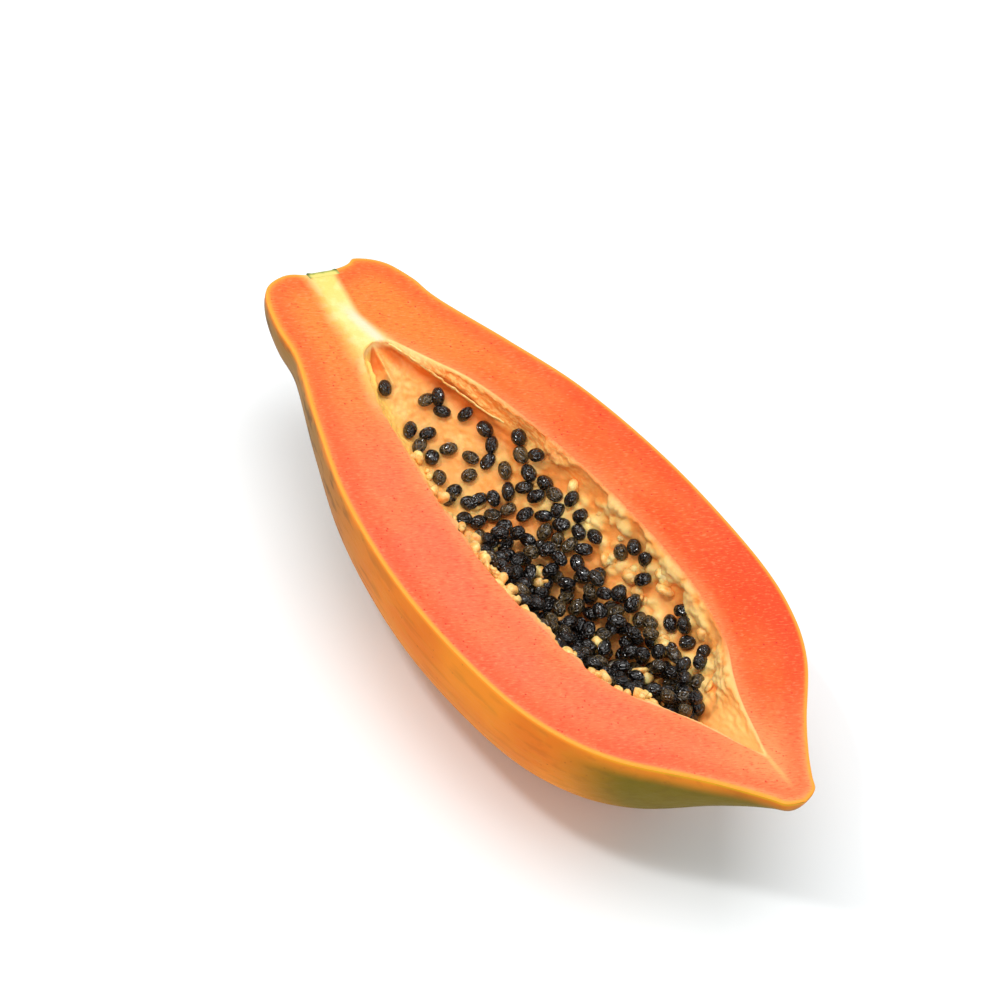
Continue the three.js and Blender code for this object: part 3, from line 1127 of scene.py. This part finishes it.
crumb = {
    "radius": 0.0015,
    "roughness": 0.00055,
    "flatness": 0.75,
    "sizes": (0.7, 1.9),
    "spots": [  # distance from the scar in millimetres, degrees round, height over the wall in millimetres
        (127, 12, 8.0), (125, 17, 7.0), (106, 1, 4.0), (160, 10, 8.5), (112, 62, 1.5), (137, 60, 2.0),
        (148, 62, 2.0), (172, 48, 3), (180, 19, 8), (154, 58, 2), (99, 58, 1.0), (122, 64, 1.0),
        (74, -10, 0.6), (68, -16, 0.5), (92, 12, 1.0), (94, -18, 2.0), (99, -22, 3), (104, -24, 4),
        (188, 46, 3),
    ],
    "clump": 4,
    "growth": (0.6, 1.3),
    "clumpReach": 0.0024,
    "nearClumps": 36,
    "nearAlong": (0.094, 0.2),
    "nearDrop": (0.0018, 0.0052),
    "nearGap": (0.0002, 0.0042),
    "farClumps": 9,
    "farAlong": (0.1, 0.205),
    "farDegrees": (58, 84),
    "randomSeed": 23,
}


def modelCrumb():
    bpy.ops.mesh.primitive_ico_sphere_add(subdivisions=2, radius=crumb["radius"])
    model = bpy.context.object
    bpy.ops.object.mode_set(mode="EDIT")
    bpy.ops.mesh.select_all(action="SELECT")
    bpy.ops.transform.resize(value=(1.15, 1, crumb["flatness"]))
    bpy.ops.transform.vertex_random(offset=crumb["roughness"], seed=3)
    bpy.ops.mesh.vertices_smooth(factor=0.4)
    bpy.ops.object.mode_set(mode="OBJECT")
    bpy.ops.object.shade_smooth()
    return model


def placeCrumbs():
    # clumps at chosen spots on the pile, along the near rim and on the far wall
    chance = random.Random(crumb["randomSeed"])
    middles = []
    for along, degrees, height in crumb["spots"]:
        middles.append(wallFrame(along / 1000, math.radians(degrees)) @ Vector((0, 0, height / 1000)))
    for _ in range(crumb["nearClumps"]):
        along, drop = chance.uniform(*crumb["nearAlong"]), chance.uniform(*crumb["nearDrop"])
        rim = wallPoint(along, -math.pi / 2)
        middles.append(rim + Vector((0, chance.uniform(*crumb["nearGap"]), -drop)))
    for _ in range(crumb["farClumps"]):
        along, degrees = chance.uniform(*crumb["farAlong"]), chance.uniform(*crumb["farDegrees"])
        middles.append(wallPoint(along, math.radians(degrees)))
    places = []
    reach = crumb["clumpReach"]
    for middle in middles:
        for _ in range(crumb["clump"]):
            sideways, across = chance.uniform(-reach, reach), chance.uniform(-reach, reach) / 2
            aside = Vector((sideways, across, chance.uniform(-reach, 0)))
            turned = Euler([chance.uniform(0, 2 * math.pi) for _ in range(3)]).to_matrix().to_4x4()
            size = chance.uniform(*crumb["sizes"])
            places.append(Matrix.Translation(middle + aside) @ Matrix.Scale(size, 4) @ turned)
    return places


placentaLook = {
    "orange": paint(255, 176, 90),
    "cream": paint(255, 220, 140),
    "darker": paint(240, 160, 80),
    "darkerTones": (0.6, 0.95),
    "blotSize": 0.0022,
    "pitSize": 0.0006,
    "depth": 0.0002,
}


def placentaFinish():
    finish = Finish("placenta")
    look = placentaLook
    place = finish.place()
    tone = finish.mark("tone")
    blots = finish.grain(place, look["blotSize"], 3)
    colour = finish.layers(look["orange"], look, {
        "cream": blots.rise(0.35, 0.65),
        "darker": tone.rise(*look["darkerTones"]) * 0.4,
    })
    normal = finish.bump(finish.grain(place, look["pitSize"], 2), look["depth"])
    return finish.shade(
        colour, 0.34 + blots * 0.15, normal, Subsurface_Weight=0.35,
        Subsurface_Radius=(0.005, 0.0025, 0.001), Subsurface_Scale=0.6, Coat_Weight=0.15, Coat_Roughness=0.3)


placentaMaterial = placentaFinish()
crumbModel = modelCrumb()
crumbModel.data.materials.append(placentaMaterial)
crumbs = strew(crumbModel, placeCrumbs(), "placentaCrumbs", crumb["growth"])
settle(crumbs, "placentaCrumbs")
bpy.data.objects.remove(crumbModel)
print("crumbs strewn:", len(crumbs.data.polygons), "faces")


# The torn membrane along the far side of the stem end

membrane = {
    "line": [  # distance from the scar in millimetres, degrees round, height over the wall in millimetres
        (37.5, 84, 0.2), (39, 85, 0.5), (42, 85, 0.8), (46, 81.5, 1.0), (52, 77.5, 1.2), (56, 75, 1.2),
        (58, 72.5, 0.9), (61, 72, 0.6), (66, 72, 1.0), (70, 72, 1.1), (75, 73, 0.9), (80, 74, 0.2),
    ],
    "width": 0.0018,
    "widthShares": (0.6, 0.5),   # the least width, and how much the noise adds
    "widthWaves": 1.3,           # noise waves between two points of the line
    "lean": 1.2,
    "waver": 0.0004,
    "waverWaves": 2.1,
    "thickness": 0.0005,
    "rounding": 0.0002,
    "steps": 88,
    "tone": 0.2,
}


def makeMembrane():
    bpy.ops.mesh.primitive_grid_add(x_subdivisions=membrane["steps"], y_subdivisions=2, size=1)
    strip = bpy.context.object
    bpy.ops.object.mode_set(mode="EDIT")
    mesh = bmesh.from_edit_mesh(strip.data)
    line = membrane["line"]
    for corner in mesh.verts:
        share = (corner.co.x + 0.5) * (len(line) - 1)
        i = min(int(share), len(line) - 2)
        t = share - i
        along, degrees, height = [a + (b - a) * t for a, b in zip(line[i], line[i + 1])]
        least, more = membrane["widthShares"]
        swell = noise.noise(Vector((share * membrane["widthWaves"], 4, 0)))
        across = corner.co.y * membrane["width"] * (least + more * swell)
        waver = membrane["waver"] * noise.noise(Vector((share * membrane["waverWaves"], 9, corner.co.y)))
        place = wallFrame(along / 1000, math.radians(degrees))
        corner.co = place @ Vector((0, across * membrane["lean"] + waver, height / 1000 + across))
    bmesh.update_edit_mesh(strip.data)
    bpy.ops.object.mode_set(mode="OBJECT")
    thicken = strip.modifiers.new("thicken", "SOLIDIFY")
    thicken.thickness = membrane["thickness"]
    thicken.offset = 0
    bpy.ops.object.modifier_apply(modifier=thicken.name)
    rounding = strip.modifiers.new("rounding", "BEVEL")
    rounding.width = membrane["rounding"]
    rounding.segments = 2
    bpy.ops.object.modifier_apply(modifier=rounding.name)
    bpy.ops.object.shade_smooth()
    marker = strip.data.attributes.new("tone", "FLOAT", "POINT")
    marker.data.foreach_set("value", [membrane["tone"]] * len(strip.data.vertices))
    return strip


strip = makeMembrane()
strip.data.materials.append(placentaMaterial)
settle(strip, "membrane")
print("membrane made")


# Stem scar: a green button, cut with the fruit

scar = {
    "radius": 0.0053,
    "height": 0.0026,
    "topAlong": 0.0013,
    "across": 0.004,
    "slant": 0.28,
    "rounding": 0.0007,
    "sides": 48,
    "dimple": 0.0004,
    "dimpleInset": 0.0012,
    "lift": 0.0001,            # how far it stands over the cut face
    "flat": paint(176, 182, 80),
    "flatPale": paint(212, 204, 106),
    "ends": paint(84, 108, 40),
    "top": paint(66, 84, 30),
    "core": paint(224, 208, 112),
    "endReach": (0.0036, 0.0052),
    "coreReach": (0.0006, 0.0018),
    "topReach": (0.0004, 0.0013),
    "blotSize": 0.0018,
    "blotShift": 0.0009,
    "depth": 0.0003,
}


def makeScar():
    bpy.ops.mesh.primitive_cylinder_add(
        vertices=scar["sides"], radius=scar["radius"], depth=scar["height"], rotation=(0, math.pi / 2, 0))
    bpy.ops.object.transform_apply(rotation=True)
    button = bpy.context.object
    bpy.ops.object.mode_set(mode="EDIT")
    bpy.context.tool_settings.mesh_select_mode = (False, False, True)
    bpy.ops.mesh.select_all(action="DESELECT")
    mesh = bmesh.from_edit_mesh(button.data)
    for face in mesh.faces:
        face.select_set(face.normal.x < -0.9)
    bmesh.update_edit_mesh(button.data)
    bpy.ops.mesh.bevel(offset=scar["rounding"], segments=4, affect="EDGES")
    mesh = bmesh.from_edit_mesh(button.data)
    lowest = min(corner.co.x for corner in mesh.verts)
    for face in mesh.faces:
        face.select_set(all(corner.co.x < lowest + 1e-6 for corner in face.verts))
    bmesh.update_edit_mesh(button.data)
    bpy.ops.mesh.inset(thickness=scar["dimpleInset"])
    bpy.ops.transform.translate(value=(scar["dimple"], 0, 0))
    bpy.ops.mesh.select_all(action="SELECT")
    bpy.ops.mesh.bisect(
        plane_co=(0, 0, 0), plane_no=(0, 0, 1), clear_outer=True, use_fill=True, threshold=1e-6)
    bpy.ops.mesh.select_all(action="SELECT")
    mesh = bmesh.from_edit_mesh(button.data)
    for corner in mesh.verts:
        corner.co.x += corner.co.y * scar["slant"]
    bmesh.update_edit_mesh(button.data)
    bpy.ops.transform.translate(
        value=(stemX + scar["topAlong"] + scar["height"] / 2, scar["across"], cutZ + scar["lift"]))
    bpy.ops.mesh.remove_doubles(threshold=1e-6)
    bpy.ops.mesh.normals_make_consistent(inside=False)
    bpy.ops.object.mode_set(mode="OBJECT")
    bpy.ops.object.shade_smooth_by_angle(angle=math.radians(40))
    return button


def scarFinish():
    finish = Finish("stemScar")
    place = finish.place()
    x, y, _ = finish.axes(place)
    blots = finish.grain(place, scar["blotSize"], 3)
    fromTop = x - (stemX + scar["topAlong"]) - (y - scar["across"]) * scar["slant"]
    fromTop = fromTop + (blots - 0.5) * scar["blotShift"]
    ends = abs(y - scar["across"]).rise(*scar["endReach"])
    colour = finish.layers(scar["flat"], scar, {
        "flatPale": blots.rise(0.35, 0.65),
        "ends": ends * 0.8,
        "core": fromTop.rise(*scar["coreReach"]) * (1 - ends * 0.8),
        "top": fromTop.fall(*scar["topReach"]) * (0.45 + ends * 0.55),
    })
    return finish.shade(
        colour, 0.45 + blots * 0.2, finish.bump(blots, scar["depth"]), Subsurface_Weight=0.1,
        Subsurface_Radius=(0.002, 0.002, 0.001), Subsurface_Scale=0.5)


button = makeScar()
button.data.materials.append(scarFinish())
settle(button, "stemScar")
print("stem scar made")
